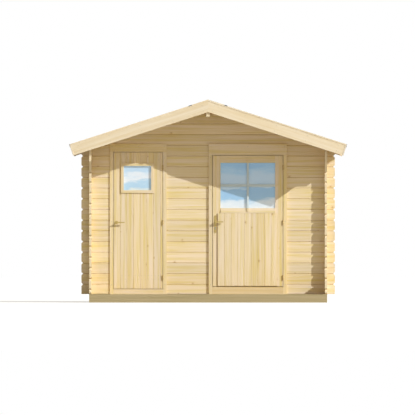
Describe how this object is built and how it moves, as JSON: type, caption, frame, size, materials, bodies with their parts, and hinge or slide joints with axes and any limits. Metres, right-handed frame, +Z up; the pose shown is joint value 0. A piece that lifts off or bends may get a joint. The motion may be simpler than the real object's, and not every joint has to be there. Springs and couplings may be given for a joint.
{
  "type": "garden tool shed",
  "caption": "Log garden shed with a felted saddle roof, a boarded door with a small window and a half-glazed door.",
  "frame": {"origin": "on the ground under the middle of the walls, on the middle joist's underside", "axes": "+X to the right along the front, +Y from the front to the back, +Z up"},
  "size_m": [3.498, 2.745, 2.5583],
  "materials": {
    "spruce_log": "planed, untreated",
    "spruce_board": "planed, untreated",
    "spruce_joinery": "planed, untreated",
    "treated_beam": "pressure-treated, sawn",
    "roofing_felt": "mineral granules on bitumen felt",
    "window_glass": "clear",
    "zinc_hinge": "zinc plated",
    "brass_handle": "satin"
  },
  "bodies": {
    "root": {"foundation_front_beam": "treated_beam", "foundation_back_beam": "treated_beam", "foundation_joists": "treated_beam", "porch_boards": "treated_beam", "floor_boards": "spruce_board", "front_wall_left": "spruce_log", "front_wall_middle": "spruce_log", "front_wall_right": "spruce_log", "front_gable": "spruce_log", "back_wall": "spruce_log", "left_wall": "spruce_log", "right_wall": "spruce_log", "ridge_purlin": "spruce_board", "roof_boards_left": "spruce_board", "roof_boards_right": "spruce_board", "roof_felt": "roofing_felt", "ridge_felt": "roofing_felt", "front_barge_left": "spruce_joinery", "front_barge_right": "spruce_joinery", "back_barge_left": "spruce_joinery", "back_barge_right": "spruce_joinery", "eave_board_left": "spruce_joinery", "eave_board_right": "spruce_joinery", "left_lock_post": "spruce_joinery", "left_hinge_post": "spruce_joinery", "left_head": "spruce_joinery", "left_sill": "spruce_joinery", "left_hinge_pins": "zinc_hinge", "right_lock_post": "spruce_joinery", "right_hinge_post": "spruce_joinery", "right_head": "spruce_joinery", "right_sill": "spruce_joinery", "right_hinge_pins": "zinc_hinge"},
    "left_leaf": {"left_leaf_boards": "spruce_joinery", "left_leaf_ledges": "spruce_joinery", "left_window_trim": "spruce_joinery", "left_window_glass": "window_glass", "left_hinge_sleeves": "zinc_hinge", "left_roses": "brass_handle"},
    "left_handle": {"left_lever": "brass_handle"},
    "right_leaf": {"right_leaf_frame": "spruce_joinery", "right_leaf_cladding": "spruce_joinery", "right_glazing_beads": "spruce_joinery", "right_window_glass": "window_glass", "right_hinge_sleeves": "zinc_hinge", "right_lock_plates": "brass_handle"},
    "right_handle": {"right_lever": "brass_handle"}
  },
  "joints": [
    {"name": "left_door", "type": "hinge", "parent": "root", "child": "left_leaf", "pos_m": [-0.57175, -1.021, 1.018], "axis": [0, 0, 1], "range_deg": [0, 170]},
    {"name": "right_door", "type": "hinge", "parent": "root", "child": "right_leaf", "pos_m": [0.94625, -1.028, 1.018], "axis": [0, 0, 1], "range_deg": [0, 135]},
    {"name": "left_lever_turn", "type": "hinge", "parent": "left_leaf", "child": "left_handle", "pos_m": [-1.157, -1.013, 1.009], "axis": [0, 1, 0], "range_deg": [0, 40], "stiffness_Nm_per_rad": 1.2, "springref_deg": -17.19},
    {"name": "right_lever_turn", "type": "hinge", "parent": "right_leaf", "child": "right_handle", "pos_m": [0.091, -1.02, 1.016], "axis": [0, 1, 0], "range_deg": [0, 40], "stiffness_Nm_per_rad": 1.2, "springref_deg": -17.19}
  ]
}
